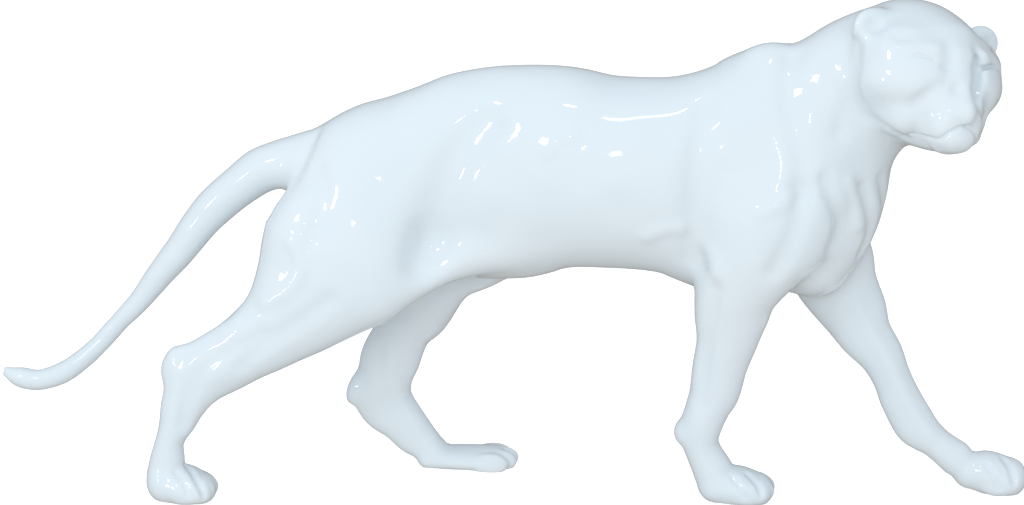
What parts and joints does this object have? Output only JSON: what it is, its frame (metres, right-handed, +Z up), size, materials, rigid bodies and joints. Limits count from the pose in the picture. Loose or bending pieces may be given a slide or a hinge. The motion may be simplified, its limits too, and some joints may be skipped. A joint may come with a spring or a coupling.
{
  "type": "animal statuette",
  "caption": "Statuette of a walking panther cast in one piece, white gloss lacquer, head turned to its right, long tail, stands on four flat soles",
  "frame": {"origin": "middle of the bounding box in X and Y, at the level of the soles", "axes": "+X towards the head along the body, the longest extent; +Y to the panther's left; +Z up"},
  "size_m": [1.0474, 0.1972, 0.5076],
  "materials": {
    "white_lacquer": "high-gloss white lacquer with a slightly cool cast over smooth cast resin"
  },
  "bodies": {
    "root": {"panther": "white_lacquer"}
  },
  "joints": []
}
